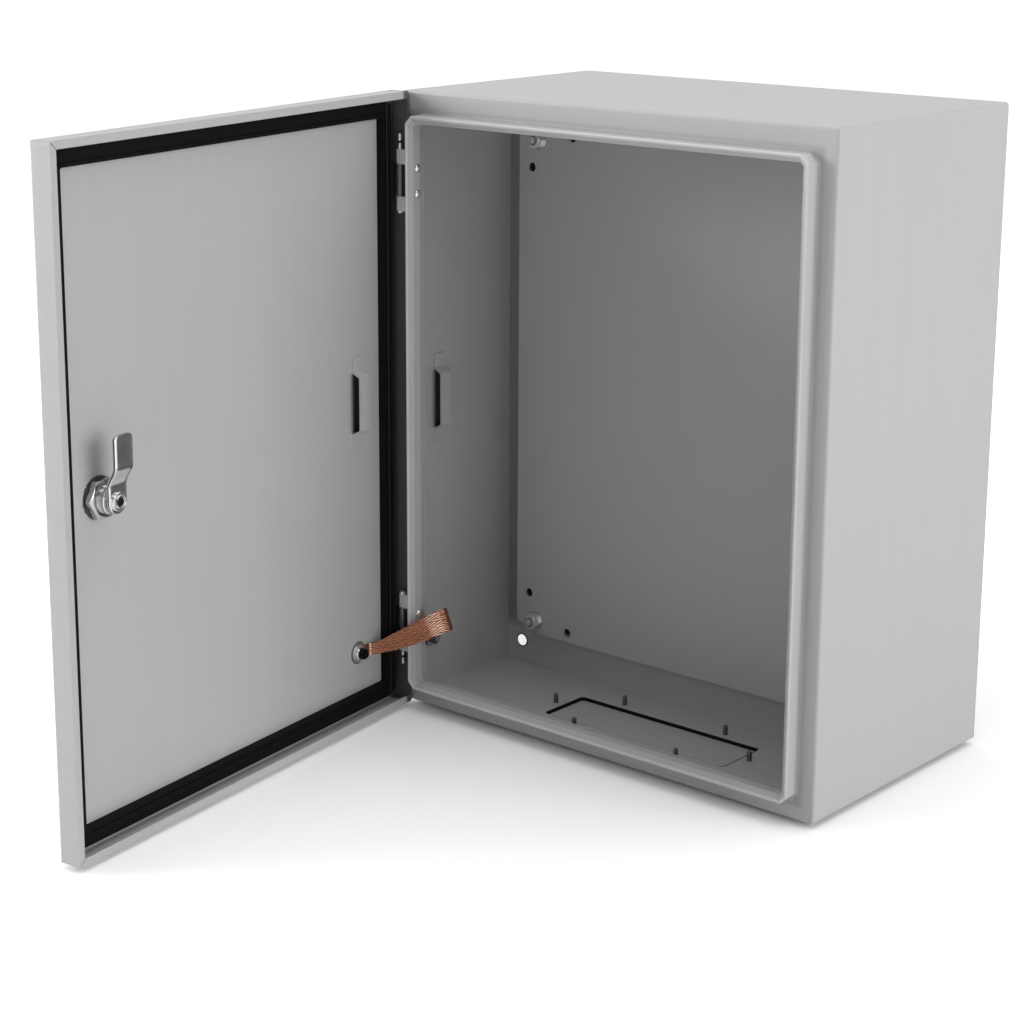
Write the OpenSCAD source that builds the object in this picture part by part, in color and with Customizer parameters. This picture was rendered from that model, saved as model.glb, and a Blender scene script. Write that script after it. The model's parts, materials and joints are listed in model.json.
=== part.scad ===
// Wall-mounted sheet steel enclosure with a hinged door, standing open.
// Origin: middle of the four wall holes, on the rear face.
// +X to the right seen from the front, +Y towards the wall, +Z up. Millimetres.

/* [Body] */
// outside width of the body and the door
body_w = 400; // [320:1:800]
// outside height of the body and the door
body_h = 500; // [420:1:1000]
// depth of the folded body, without the door
body_depth = 228.5; // [200:0.5:400]
// sheet thickness of the body
sheet_t = 1.5; // [1.2:0.1:2]
// outer radius of the long folds that run front to back
edge_r = 3; // [2.4:0.1:6]
// outer radius of the fold into the front flange
front_fold_r = 2; // [1:0.1:3]

/* [Front rim] */
// width of the front flange at the left and right
rim_side = 15; // [14.5:0.1:16]
// width of the front flange at the top
rim_top = 18; // [14:0.1:20]
// width of the front flange at the bottom
rim_bottom = 15; // [14:0.1:20]
// how far the sealing lip stands in front of the flange
lip_h = 13.4; // [12.6:0.1:13.5]
// width of the folded-back lip
fold_w = 6; // [5.4:0.1:7]
// how far the slanting nose of the lip drops back
fold_slope = 3.6; // [2.5:0.1:4.5]
// how far the returned edge reaches behind the front plane
lip_return = 2; // [1:0.1:4]
// corner cut of the lip
lip_corner = 6; // [5.5:0.1:7]
// inner bend radius between the flange and the lip
lip_bend_r = 2.6; // [1.5:0.1:3]

/* [Back walls] */
// front plane to the inner back wall
inner_back = 130; // [110:0.5:180]
// bore of the wall holes
wall_hole_d = 9; // [7:0.1:10]
// wall hole from the side
wall_hole_x = 18; // [15:0.5:24]
// wall hole from the top or bottom
wall_hole_z = 21; // [16:0.5:24]
// outside diameter of the sleeves between the two back walls
sleeve_d = 14; // [12:0.5:16]
// hole of a blanking plug in the inner back wall
plug_hole_d = 10; // [9:0.1:10.4]
// head of the white blanking plugs
plug_head_d = 12; // [11:0.1:13]
// how far a blanking plug reaches into its hole
plug_len = 3; // [1.6:0.1:3.5]

/* [Mounting plate] */
// plate to side wall
plate_gap_side = 20; // [12:0.5:30]
// plate to floor or roof
plate_gap_end = 34; // [20:0.5:50]
// plate thickness
plate_t = 2; // [1.5:0.1:3]
// length of the spacers behind the plate
spacer_len = 8.7; // [5:0.1:20]
// stud from the plate's side edge
plate_stud_x = 20; // [17:0.5:30]
// stud from the plate's lower or upper edge
plate_stud_z = 12; // [11:0.5:30]
// corner cut of the plate, along its width
plate_cut_x = 24; // [0:0.5:25]
// corner cut of the plate, along its height
plate_cut_z = 9; // [0:0.5:10]
// spare holes in the plate
spare_hole_d = 7.6; // [4:0.1:9]
// spare hole above or below a stud
spare_hole_up = 23; // [18:0.5:40]
// spare hole beside a stud, towards the middle
spare_hole_in = 35; // [22:0.5:60]

/* [Door] */
// depth of the door pan
door_depth = 18.5; // [18:0.1:19]
// sheet thickness of the door
door_t = 1.5; // [1.2:0.1:1.8]
// closed gap between the door's rim and the front flange
door_gap = 3; // [2.8:0.1:3.4]
// inward return of the door's rim
door_return = 5.8; // [4:0.1:8]
// outer radius of the door's folds
door_fold_r = 2.5; // [2:0.1:4]
// gap at the mitred corners of the return
mitre_gap = 0.6; // [0.3:0.1:1]
// angle at which the door stands open
door_open = 82; // [0:1:120]

/* [Gasket] */
// gasket from the edge of the door
gasket_inset = 7; // [6:0.1:8]
// gasket width
gasket_w = 13; // [11:0.1:14]
// clear space left between gasket and lip
gasket_clear = 0.3; // [0.2:0.05:1]
// outer corner radius of the gasket
gasket_r = 12; // [8:0.5:16]
// groove along the gasket
gasket_groove = 1; // [0.5:0.1:2]

/* [Hinges] */
// hinge pin from the side of the body
hinge_x = 5.5; // [5.2:0.1:5.6]
// hinge pin in front of the front plane
hinge_y = 8; // [7.9:0.1:8.4]
// middle of each hinge from the top or bottom
hinge_inset = 69; // [50:1:120]
// height of a hinge
hinge_len = 48; // [40:1:70]
// length of each end knuckle
knuckle_len = 11.3; // [8:0.1:14]
// outer radius of the end knuckles
knuckle_r = 2.7; // [2.4:0.1:3.2]
// outer radius of the middle knuckle
mid_knuckle_r = 3.5; // [2.8:0.1:3.6]
// radius of the hinge pin
pin_r = 1.5; // [1.2:0.1:1.8]
// running clearance on the pin
pin_clear = 0.05; // [0.02:0.01:0.09]
// gap between knuckles
knuckle_gap = 0.4; // [0.2:0.1:0.6]
// thickness of the hinge leaves
leaf_t = 1.5; // [1.2:0.1:1.7]
// plain end of the pin past the hinge
pin_tail = 12; // [4:0.5:16]
// distance between the two screws of a hinge
hinge_screw_pitch = 20; // [14:0.5:24]
// diameter of the hinge screws
hinge_screw_d = 4; // [3:0.1:4.5]

/* [Lock] */
// lock axis from the free side of the door
lock_inset = 51; // [50:0.5:60]
// lock axis above the middle of the door
lock_rise = 1; // [-10:0.5:10]
// width across the flats of the lock nut
lock_nut_af = 27; // [24:0.5:30]
// diameter of the lock housing
lock_body_d = 20; // [19:0.5:22]
// length of the housing behind the door's outer face
lock_body_len = 16.8; // [14:0.1:17.5]
// diameter of the turning insert
spindle_d = 12; // [10:0.5:13]
// running clearance of the insert
spindle_clear = 0.05; // [0.02:0.01:0.09]
// length of the cam from the axis
cam_len = 48; // [44:0.5:48.5]
// width of the cam
cam_w = 18; // [14:0.5:19]
// thickness of the cam
cam_t = 2.5; // [2:0.1:3]
// running gap between the cam and the lip's edge
cam_gap = 0.5; // [0.3:0.1:1]

/* [Earthing] */
// diameter of the earth studs
earth_stud_d = 6; // [5:0.5:6]
// door stud from the hinge side
door_earth_x = 51.5; // [46:0.5:60]
// door stud above the bottom edge
door_earth_z = 53; // [45:0.5:60]
// body stud above the bottom edge
body_earth_z = 46; // [40:0.5:55]
// body stud behind the front plane
body_earth_y = 29; // [26:0.5:34]
// width of the flat braid
strap_w = 16; // [12:0.5:18]
// thickness of the flat braid
strap_t = 1.6; // [1:0.1:2]

/* [Cable brackets] */
// length of the raised part
bracket_len = 52; // [40:1:80]
// length of each foot
bracket_foot = 11; // [8:0.5:16]
// width of the strip
bracket_w = 11.5; // [8:0.5:14]
// clear height under the strip
bracket_h = 7; // [5:0.1:7.2]
// thickness of the strip
bracket_t = 1.3; // [1:0.1:1.6]
// drop of a strip's leg on its way down
bracket_slope = 3.5; // [2:0.1:6]
// body bracket behind the front plane, to its middle
body_bracket_y = 40.5; // [36:0.5:60]
// body bracket below the middle of the height
body_bracket_drop = 2; // [-20:0.5:20]
// door bracket from the hinge side, to its middle
door_bracket_x = 50; // [42:0.5:60]
// door bracket above the middle of the height
door_bracket_rise = 9.5; // [-20:0.5:20]

/* [Cable entry] */
// width of the floor cut-out
entry_w = 176; // [100:1:200]
// depth of the floor cut-out
entry_d = 50; // [30:1:52]
// middle of the cut-out behind the front plane
entry_y = 70; // [66:1:76]
// width of the cover plate around the cut-out
entry_border = 16; // [14:0.5:17]
// thickness of the cover plate
entry_plate_t = 1.5; // [1.2:0.1:3]
// thickness of the cover plate's seal
entry_seal_t = 1.2; // [1:0.1:2]
// diameter of the cover screws
entry_screw_d = 4; // [3:0.1:5]

/* [Hidden] */
eps = 0.01;
fine = 48;
washer_t = 1.2;
washer_od = 16.5;
nut_t = 4.5;
face_gap = 0.3;
thread_gap = 0.05;
gasket_t = door_depth + door_gap - lip_h - door_t - gasket_clear;
door_front = door_depth + door_gap;
pin_v = door_front - hinge_y;
lock_x = body_w - lock_inset;
lock_z = body_h / 2 + lock_rise;
cam_v = door_front + lip_return + cam_gap;
cam_base_v = lock_body_len + face_gap;
plate_front = inner_back - spacer_len - plate_t;
plate_w = body_w - 2 * plate_gap_side;
plate_h = body_h - 2 * plate_gap_end;
screw_y = hinge_y - 2.4;
leaf_front = hinge_y + knuckle_r;
leaf_reach = hinge_y + 1.5;
mid_len = hinge_len - 2 * knuckle_len - 2 * knuckle_gap;
cap_d = lock_body_d + 8;

grey_paint = [0.74, 0.74, 0.74];
plate_grey = [0.70, 0.70, 0.70];
black_rubber = [0.05, 0.05, 0.05];
zinc = [0.80, 0.80, 0.78];
dark_zinc = [0.20, 0.20, 0.20];
copper = [0.72, 0.43, 0.30];
white_plastic = [0.95, 0.95, 0.95];

// ---------- placing ----------

// body frame: left, front plane, bottom at zero
module in_body() {
  translate([-body_w / 2, -body_depth, -body_h / 2]) children();
}

// door frame: hinge side, outer face, bottom at zero; turned about the hinge pin
module on_door() {
  in_body()
    translate([hinge_x, -hinge_y, 0])
      rotate([0, 0, -door_open])
        translate([-hinge_x, -pin_v, 0]) children();
}

// lock frame: origin on the lock axis at the door's outer face
module on_lock() {
  on_door() translate([lock_x, 0, lock_z]) children();
}

module flip_x(on) {
  if (on) mirror([1, 0, 0]) children();
  else children();
}

module flip_z(on) {
  if (on) mirror([0, 0, 1]) children();
  else children();
}

// ---------- helpers ----------

// sweep a width-height outline along the depth
module along_y(y0, y1) {
  translate([0, y1, 0]) rotate([90, 0, 0]) linear_extrude(height = y1 - y0) children();
}

// sweep a depth-height outline along the width
module along_x(x0, x1) {
  translate([x0, 0, 0]) rotate([90, 0, 90]) linear_extrude(height = x1 - x0) children();
}

module round_rect(w, h, r) {
  translate([r, 0]) square([w - 2 * r, h]);
  translate([0, r]) square([w, h - 2 * r]);
  for (x = [r, w - r], y = [r, h - r])
    translate([x, y]) circle(r = r, $fn = fine);
}

// outline of depth d and width w with both corners rounded at the front
module front_round(d, w, r) {
  translate([r, 0]) square([d - r, w]);
  translate([0, r]) square([d, w - 2 * r]);
  for (y = [r, w - r]) translate([r, y]) circle(r = r, $fn = fine);
}

// closed block with rounded front folds and rounded long folds
module folded_block(w, d, h, long_r, fold_r) {
  intersection() {
    along_y(0, d) round_rect(w, h, long_r);
    along_x(0, w) front_round(d, h, fold_r);
    linear_extrude(height = h) mirror([1, -1]) front_round(d, w, fold_r);
  }
}

module rod_y(d, y0, y1) {
  translate([0, y1, 0]) rotate([90, 0, 0]) cylinder(d = d, h = y1 - y0, $fn = fine);
}

module rod_x(d, x0, x1) {
  translate([x0, 0, 0]) rotate([0, 90, 0]) cylinder(d = d, h = x1 - x0, $fn = fine);
}

// hexagon nut with its axis along the depth, chamfered at its free end
module nut_y(af, bore, y0, y1) {
  difference() {
    translate([0, y1, 0]) rotate([90, 90, 0])
      cylinder(d = af / cos(30), h = y1 - y0, $fn = 6);
    rod_y(bore, y0 - 1, y1 + 1);
  }
}

module washer_y(od, bore, y0, y1) {
  difference() {
    rod_y(od, y0, y1);
    rod_y(bore, y0 - 1, y1 + 1);
  }
}

// the four wall hole places
module at_wall_holes() {
  for (x = [wall_hole_x, body_w - wall_hole_x], z = [wall_hole_z, body_h - wall_hole_z])
    translate([x, 0, z]) children();
}

// the four plate stud places
module at_plate_studs() {
  for (x = [plate_gap_side + plate_stud_x, body_w - plate_gap_side - plate_stud_x],
       z = [plate_gap_end + plate_stud_z, body_h - plate_gap_end - plate_stud_z])
    translate([x, 0, z]) children();
}

// the two hinges, each with its middle at height zero and its pin head downwards
module at_hinges() {
  translate([0, 0, body_h - hinge_inset]) children();
  translate([0, 0, hinge_inset]) mirror([0, 0, 1]) children();
}

// ---------- body ----------

// corners of the lip's outer side, grown by a margin, counted against the clock
function lip_corners(grow) =
  let (
    x0 = rim_side - grow,
    x1 = body_w - rim_side + grow,
    z0 = rim_bottom - grow,
    z1 = body_h - rim_top + grow,
    c = lip_corner + grow * (2 - sqrt(2))
  )
    [
      [x0 + c, z0], [x1 - c, z0], [x1, z0 + c], [x1, z1 - c],
      [x1 - c, z1], [x0 + c, z1], [x0, z1 - c], [x0, z0 + c]
    ];

// points of the bend between flange and lip, in four flats
function bend_points(r) =
  [for (a = [0:22.5:90]) [-lip_bend_r + r * cos(a), -lip_bend_r + r * sin(a)]];
function backwards(p) = [for (i = [len(p) - 1:-1:0]) p[i]];

// outline of the bend and the folded lip: depth, distance inward
fold_slant = fold_slope / (fold_w - 1.6);
fold_off = sheet_t * sqrt(1 + fold_slant * fold_slant);
lip_profile = concat(
  bend_points(lip_bend_r),
  [
    [-lip_h + 0.8, 0],
    [-lip_h, 0.8],
    [-lip_h, 1.6],
    [-lip_h + fold_slope, fold_w],
    [lip_return, fold_w],
    [lip_return, fold_w - sheet_t],
    [-lip_h + fold_off + fold_slant * (fold_w - sheet_t - 1.6), fold_w - sheet_t],
    [-lip_h + fold_off + fold_slant * (sheet_t - 1.6), sheet_t]
  ],
  backwards(bend_points(lip_bend_r + sheet_t))
);

// the outline carried around the opening with mitred corners
module lip() {
  n = len(lip_profile);
  polyhedron(
    points = [for (p = lip_profile) for (c = lip_corners(-p[1])) [c[0], p[0], c[1]]],
    faces = [
      for (j = [0:n - 1], i = [0:7])
        [8 * j + i, 8 * ((j + 1) % n) + i, 8 * ((j + 1) % n) + (i + 1) % 8, 8 * j + (i + 1) % 8]
    ]
  );
}

module at_entry_screws() {
  for (s = [-1, 1]) {
    translate([body_w / 2 + s * (entry_w / 2 + entry_border / 2), entry_y, 0]) children();
    for (f = [-1, 1])
      translate([body_w / 2 + s * entry_w * 0.285, entry_y + f * (entry_d / 2 + entry_border / 2), 0])
        children();
  }
}

module body_shell() color(grey_paint) in_body() {
  difference() {
    union() {
      difference() {
        folded_block(body_w, body_depth, body_h, edge_r, front_fold_r);
        along_y(sheet_t, body_depth + 1)
          translate([sheet_t, sheet_t])
            round_rect(body_w - 2 * sheet_t, body_h - 2 * sheet_t, edge_r - sheet_t);
        along_y(-1, sheet_t + 1) polygon(lip_corners(lip_bend_r));
      }
      lip();
    }
    // hinge screw holes through both layers of the lip
    at_hinges()
      for (z = [-1, 1])
        translate([0, -screw_y, z * hinge_screw_pitch / 2])
          rod_x(hinge_screw_d + 0.4, rim_side - 1, rim_side + fold_w + 1);
    // cable entry
    translate([body_w / 2 - entry_w / 2, entry_y - entry_d / 2, -1])
      linear_extrude(height = sheet_t + 2) round_rect(entry_w, entry_d, 4);
    at_entry_screws() translate([0, 0, -1])
      cylinder(d = entry_screw_d + 2 * thread_gap, h = sheet_t + 2, $fn = fine);
  }
}

module back_sheet(y0, hole_d) {
  difference() {
    along_y(y0, y0 + sheet_t)
      translate([sheet_t, sheet_t])
        round_rect(body_w - 2 * sheet_t, body_h - 2 * sheet_t, edge_r - sheet_t + 0.5);
    at_wall_holes() rod_y(hole_d, y0 - 1, y0 + sheet_t + 1);
  }
}

module back_wall() color(grey_paint) in_body() back_sheet(inner_back, plug_hole_d);

module rear_cover() color(grey_paint) in_body() back_sheet(body_depth - sheet_t, wall_hole_d);

module wall_sleeves() color(zinc) in_body()
  at_wall_holes()
    washer_y(sleeve_d, wall_hole_d, inner_back + sheet_t, body_depth - sheet_t);

module hole_plugs() color(white_plastic) in_body()
  at_wall_holes() {
    rod_y(plug_head_d, inner_back - 1.2, inner_back);
    rod_y(plug_hole_d - 0.4, inner_back - 1, inner_back + sheet_t);
    rod_y(wall_hole_d - 0.4, inner_back - 1, inner_back + plug_len);
  }

// ---------- mounting plate ----------

module mounting_plate() color(plate_grey) in_body()
  difference() {
    along_y(plate_front, plate_front + plate_t)
      translate([plate_gap_side, plate_gap_end])
        polygon([
          [0, plate_cut_z], [plate_cut_x, 0],
          [plate_w - plate_cut_x, 0], [plate_w, plate_cut_z],
          [plate_w, plate_h - plate_cut_z], [plate_w - plate_cut_x, plate_h],
          [plate_cut_x, plate_h], [0, plate_h - plate_cut_z]
        ]);
    at_plate_studs() rod_y(earth_stud_d + 1, plate_front - 1, plate_front + plate_t + 1);
    // spare holes, two at each corner
    for (right = [0, 1], top = [0, 1])
      translate([
        right == 1 ? body_w - plate_gap_side : plate_gap_side,
        0,
        top == 1 ? body_h - plate_gap_end : plate_gap_end
      ])
        flip_x(right == 1) flip_z(top == 1)
          for (p = [[plate_stud_x - 7, plate_stud_z + spare_hole_up], [plate_stud_x + spare_hole_in, plate_stud_z - 4]])
            translate([p[0], 0, p[1]])
              rod_y(spare_hole_d, plate_front - 1, plate_front + plate_t + 1);
  }

module plate_studs() color(zinc) in_body()
  at_plate_studs()
    rod_y(earth_stud_d, plate_front - washer_t - nut_t - 3, inner_back);

module plate_spacers() color(zinc) in_body()
  at_plate_studs()
    washer_y(12, earth_stud_d + 2 * thread_gap, inner_back - spacer_len, inner_back);

module plate_washers() color(zinc) in_body()
  at_plate_studs()
    washer_y(washer_od, earth_stud_d + 0.4, plate_front - washer_t, plate_front);

module plate_nuts() color(zinc) in_body()
  at_plate_studs()
    nut_y(10, earth_stud_d + 2 * thread_gap, plate_front - washer_t - nut_t, plate_front - washer_t);

// ---------- cable entry ----------

module entry_blank(z0, z1) {
  translate([
    body_w / 2 - entry_w / 2 - entry_border,
    entry_y - entry_d / 2 - entry_border,
    z0
  ])
    linear_extrude(height = z1 - z0)
      round_rect(entry_w + 2 * entry_border, entry_d + 2 * entry_border, 6);
}

module entry_cover() color(grey_paint) in_body()
  difference() {
    entry_blank(-entry_seal_t - entry_plate_t, -entry_seal_t);
    at_entry_screws() translate([0, 0, -entry_seal_t - entry_plate_t - 1])
      cylinder(d = entry_screw_d + 0.5, h = entry_plate_t + 2, $fn = fine);
  }

module entry_seal() color(black_rubber) in_body()
  difference() {
    entry_blank(-entry_seal_t, 0);
    translate([body_w / 2 - entry_w / 2 + 0.8, entry_y - entry_d / 2 + 0.8, -entry_seal_t - 1])
      linear_extrude(height = entry_seal_t + 2) round_rect(entry_w - 1.6, entry_d - 1.6, 4);
    at_entry_screws() translate([0, 0, -entry_seal_t - 1])
      cylinder(d = entry_screw_d + 0.5, h = entry_seal_t + 2, $fn = fine);
  }

module entry_screws() color(zinc) in_body()
  at_entry_screws() {
    translate([0, 0, -entry_seal_t - entry_plate_t - 1.4])
      cylinder(d = entry_screw_d * 2, h = 1.4, $fn = fine);
    translate([0, 0, -entry_seal_t - entry_plate_t - 1])
      cylinder(d = entry_screw_d, h = sheet_t + entry_seal_t + entry_plate_t + 8, $fn = fine);
    translate([0, 0, sheet_t + 7])
      cylinder(d1 = entry_screw_d, d2 = entry_screw_d * 0.6, h = 1, $fn = fine);
  }

// ---------- cable brackets ----------

// hat-shaped strip along +Z on a wall at depth zero, standing towards +Y
module hat_bracket() {
  h = bracket_h + bracket_t;
  half = bracket_len / 2;
  total = half + bracket_foot;
  top = half - bracket_slope;
  inner = bracket_t * 0.6;
  difference() {
    along_x(-bracket_w / 2, bracket_w / 2)
      polygon([
        [0, -total], [bracket_t, -total], [bracket_t, -half],
        [h - 1.2, -top - 0.4], [h, -top + 1.2],
        [h, top - 1.2], [h - 1.2, top + 0.4],
        [bracket_t, half], [bracket_t, total], [0, total]
      ]);
    along_x(-bracket_w / 2 - 1, bracket_w / 2 + 1)
      polygon([
        [0, -half + bracket_t], [bracket_h - 1, -top + inner], [bracket_h, -top + inner + 1],
        [bracket_h, top - inner - 1], [bracket_h - 1, top - inner], [0, half - bracket_t],
        [-1, half - bracket_t], [-1, -half + bracket_t]
      ]);
  }
}

module body_cable_bracket() color(grey_paint) in_body()
  translate([sheet_t, body_bracket_y, body_h / 2 - body_bracket_drop]) rotate([0, 0, -90]) hat_bracket();

module door_cable_bracket() color(grey_paint) on_door()
  translate([door_bracket_x, door_t, body_h / 2 + door_bracket_rise]) hat_bracket();

// ---------- hinges ----------

module hinge_body_leaves() color(zinc) in_body()
  at_hinges()
    difference() {
      union() {
        // plate on the outer side of the lip
        translate([rim_side - leaf_t, -leaf_front, -hinge_len / 2])
          cube([leaf_t, leaf_front - lip_bend_r - 0.2, hinge_len]);
        for (z = [-hinge_len / 2, hinge_len / 2 - knuckle_len]) {
          // arm out to the knuckle
          translate([hinge_x, -leaf_front, z])
            cube([rim_side - hinge_x - eps, leaf_t, knuckle_len]);
          translate([hinge_x, -hinge_y, z])
            cylinder(r = knuckle_r, h = knuckle_len, $fn = fine);
        }
      }
      translate([hinge_x, -hinge_y, -hinge_len / 2 - 1])
        cylinder(r = pin_r + pin_clear, h = hinge_len + 2, $fn = fine);
      for (z = [-1, 1])
        translate([0, -screw_y, z * hinge_screw_pitch / 2])
          rod_x(hinge_screw_d + 2 * thread_gap, rim_side - leaf_t - 1, rim_side + 1);
    }

module hinge_screws() color(zinc) in_body()
  at_hinges()
    for (z = [-1, 1])
      translate([0, -screw_y, z * hinge_screw_pitch / 2]) {
        rod_x(hinge_screw_d, rim_side - leaf_t, rim_side + fold_w + 1);
        translate([rim_side + fold_w, 0, 0]) rotate([0, 90, 0])
          rotate_extrude($fn = fine)
            polygon([[0, 0], [3.4, 0], [3.4, 1.2], [2.9, 2.1], [1.9, 2.6], [0, 2.8]]);
      }

module hinge_pins() color(zinc) in_body()
  at_hinges()
    translate([hinge_x, -hinge_y, 0]) {
      translate([0, 0, -hinge_len / 2 - 1.8]) cylinder(r = pin_r + 0.9, h = 1.8, $fn = fine);
      translate([0, 0, -hinge_len / 2 - 1])
        cylinder(r = pin_r, h = hinge_len + 1 + pin_tail, $fn = fine);
    }

module hinge_door_leaves() color(dark_zinc) on_door()
  at_hinges()
    difference() {
      union() {
        translate([door_t, pin_v - leaf_reach, -mid_len / 2])
          cube([leaf_t + 0.3, leaf_reach + 1, mid_len]);
        translate([hinge_x, pin_v, -mid_len / 2])
          cylinder(r = mid_knuckle_r, h = mid_len, $fn = fine);
      }
      translate([hinge_x, pin_v, -mid_len / 2 - 1])
        cylinder(r = pin_r + pin_clear, h = mid_len + 2, $fn = fine);
    }

// ---------- door ----------

module door_pan() color(grey_paint) on_door()
  difference() {
    folded_block(body_w, door_depth, body_h, edge_r, door_fold_r);
    along_y(door_t, door_depth - door_t)
      translate([door_t, door_t])
        round_rect(body_w - 2 * door_t, body_h - 2 * door_t, edge_r - door_t);
    // opening inside the returns; the hinge side has none
    translate([door_t, door_depth - door_t - 1, door_return])
      cube([body_w - door_t - door_return, door_t + 2, body_h - 2 * door_return]);
    // mitre gaps at the free corners
    for (top = [0, 1])
      translate([body_w, door_depth - door_t, top == 1 ? body_h : 0])
        flip_z(top == 1)
          rotate([0, 45, 0])
            translate([-door_return * 1.6, -eps, -mitre_gap / 2])
              cube([door_return * 1.6 - edge_r * 0.42, door_t + 1, mitre_gap]);
    translate([lock_x, 0, lock_z]) rod_y(lock_body_d + 0.4, -1, door_t + 1);
  }

module gasket_ring(inset, w, r) {
  difference() {
    translate([inset, inset]) round_rect(body_w - 2 * inset, body_h - 2 * inset, r);
    translate([inset + w, inset + w])
      round_rect(body_w - 2 * inset - 2 * w, body_h - 2 * inset - 2 * w, max(r - w, 1.5));
  }
}

module door_gasket() color(black_rubber) on_door()
  difference() {
    along_y(door_t, door_t + gasket_t) gasket_ring(gasket_inset, gasket_w, gasket_r);
    along_y(door_t + gasket_t - gasket_groove, door_t + gasket_t + 1)
      gasket_ring(gasket_inset + gasket_w - 4, 1.5, gasket_r - gasket_w + 6);
  }

// ---------- lock ----------

module lock_housing() color(zinc) on_lock()
  difference() {
    union() {
      rod_y(lock_body_d, -1, lock_body_len - 4);
      rod_y(lock_body_d - 1.5, 0, lock_body_len);
      translate([0, 0, 0]) rotate([90, 0, 0])
        rotate_extrude($fn = fine)
          polygon([[0, 0], [cap_d / 2, 0], [cap_d / 2, 1.2], [cap_d / 2 - 1, 2.2], [0, 2.2]]);
    }
    rod_y(spindle_d + 2 * spindle_clear, -4, lock_body_len + 1);
  }

module lock_washer() color(zinc) on_lock()
  difference() {
    rod_y(lock_nut_af + 4, door_t, door_t + washer_t);
    rod_y(lock_body_d + 0.4, door_t - 1, door_t + washer_t + 1);
    for (a = [0:20:340])
      rotate([0, a, 0]) translate([(lock_nut_af + 4) / 2 - 1, door_t - 1, 0])
        rotate([0, 45, 0]) cube([1.8, washer_t + 2, 1.8]);
  }

module lock_nut() color(zinc) on_lock()
  nut_y(lock_nut_af, lock_body_d + 2 * thread_gap, door_t + washer_t, door_t + washer_t + 6);

module lock_spindle() color(zinc) on_lock() {
  difference() {
    rod_y(spindle_d, -1.6, lock_body_len + face_gap);
    rod_y(spindle_d - 3, -3, 4);
  }
  // double-bit key pin
  rod_y(4, -1, 5);
  translate([-3.6, -1, -0.9]) cube([7.2, 6, 1.8]);
  // square drive for the cam
  translate([-3.8, lock_body_len - 1, -3.8]) cube([7.6, cam_t + 1 + face_gap, 7.6]);
}

module lock_cam() color(zinc) on_lock() {
  run = 9;
  rise = cam_v - cam_base_v;
  k = cam_t * tan(atan(rise / run) / 2);
  bend = 14;
  low = cam_base_v;
  difference() {
    intersection() {
      along_x(-cam_w / 2, cam_w / 2)
        polygon([
          [low, -10], [low, bend + k / 2], [low + rise, bend + run + k / 2],
          [low + rise, cam_len], [low + rise + cam_t, cam_len],
          [low + rise + cam_t, bend + run - k / 2], [low + cam_t, bend - k / 2],
          [low + cam_t, -10]
        ]);
      along_y(low - 1, low + rise + cam_t + 1) {
        translate([-cam_w / 2, 0]) square([cam_w, cam_len - 4]);
        translate([-cam_w / 2 + 4, 0]) square([cam_w - 8, cam_len]);
        for (s = [-1, 1])
          translate([s * (cam_w / 2 - 4), cam_len - 4]) circle(r = 4, $fn = fine);
        circle(d = cam_w, $fn = fine);
      }
    }
    translate([-3.9, low - 1, -3.9]) cube([7.8, cam_t + 2, 7.8]);
  }
}

module cam_screw() color(zinc) on_lock()
  difference() {
    rod_y(spindle_d + 1.5, cam_base_v + cam_t, cam_base_v + cam_t + 1.8);
    rod_y(spindle_d - 2, cam_base_v + cam_t + 1, cam_base_v + cam_t + 3);
    rod_y(spindle_d - 7, cam_base_v + cam_t + 0.6, cam_base_v + cam_t + 3);
  }

// ---------- earthing ----------

module on_door_earth() {
  on_door() translate([door_earth_x, 0, door_earth_z]) children();
}

// body stud frame: +Y points from the left wall into the body
module on_body_earth() {
  in_body() translate([sheet_t, body_earth_y, body_earth_z]) rotate([0, 0, -90]) children();
}

// pieces stacked on a stud from a wall at depth y0
lug_at = washer_t;
lug_len = 12;
lug_w = 9;
module earth_stud(y0) {
  rod_y(earth_stud_d, y0, y0 + lug_at + strap_t + nut_t + 1.5);
}

module earth_nut(y0) {
  nut_y(10, earth_stud_d + 2 * thread_gap, y0 + lug_at + strap_t, y0 + lug_at + strap_t + nut_t);
}

module earth_washer(y0) {
  washer_y(washer_od, earth_stud_d + 2 * thread_gap, y0, y0 + washer_t);
}

// eye and crimp of the braid, reaching towards +X or -X
module strap_lug(y0, dir) {
  difference() {
    union() {
      rod_y(13, y0 + lug_at, y0 + lug_at + strap_t);
      translate([dir > 0 ? 0 : -lug_len, y0 + lug_at, -lug_w / 2]) cube([lug_len, strap_t, lug_w]);
    }
    rod_y(earth_stud_d + 2 * thread_gap, y0 + lug_at - 1, y0 + lug_at + strap_t + 1);
  }
}

module door_earth_stud() color(zinc) on_door_earth() earth_stud(door_t);
module door_earth_nut() color(dark_zinc) on_door_earth() earth_nut(door_t);
module door_earth_washer() color(zinc) on_door_earth() earth_washer(door_t);
module door_strap_lug() color(copper) on_door_earth() strap_lug(door_t, -1);
module body_earth_stud() color(zinc) on_body_earth() earth_stud(0);
module body_earth_nut() color(zinc) on_body_earth() earth_nut(0);
module body_earth_washer() color(zinc) on_body_earth() earth_washer(0);
module body_strap_lug() color(copper) on_body_earth() strap_lug(0, 1);

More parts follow.
